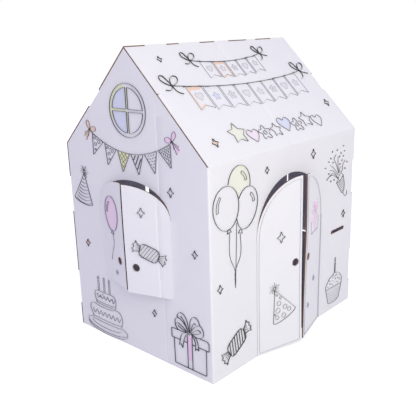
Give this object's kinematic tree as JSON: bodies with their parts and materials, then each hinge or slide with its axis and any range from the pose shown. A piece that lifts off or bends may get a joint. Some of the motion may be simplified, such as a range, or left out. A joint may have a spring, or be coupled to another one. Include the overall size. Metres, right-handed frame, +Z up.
{
  "type": "cardboard playhouse",
  "caption": "Folded corrugated card playhouse with a gabled roof, arched double doors, shuttered arched windows, tabbed corners and a finger-jointed ridge.",
  "frame": {"origin": "on the floor under the middle of the house", "axes": "+Z up; the front sheet's door wall faces -Y and its window gable faces -X; the back sheet is the same sheet turned half a turn about +Z"},
  "size_m": [1.0158, 0.8582, 1.122],
  "materials": {
    "white_board": "white coated corrugated board with black line print and brown raw edges"
  },
  "bodies": {
    "root": {"front_sheet": "white_board", "back_sheet": "white_board"}
  },
  "joints": []
}
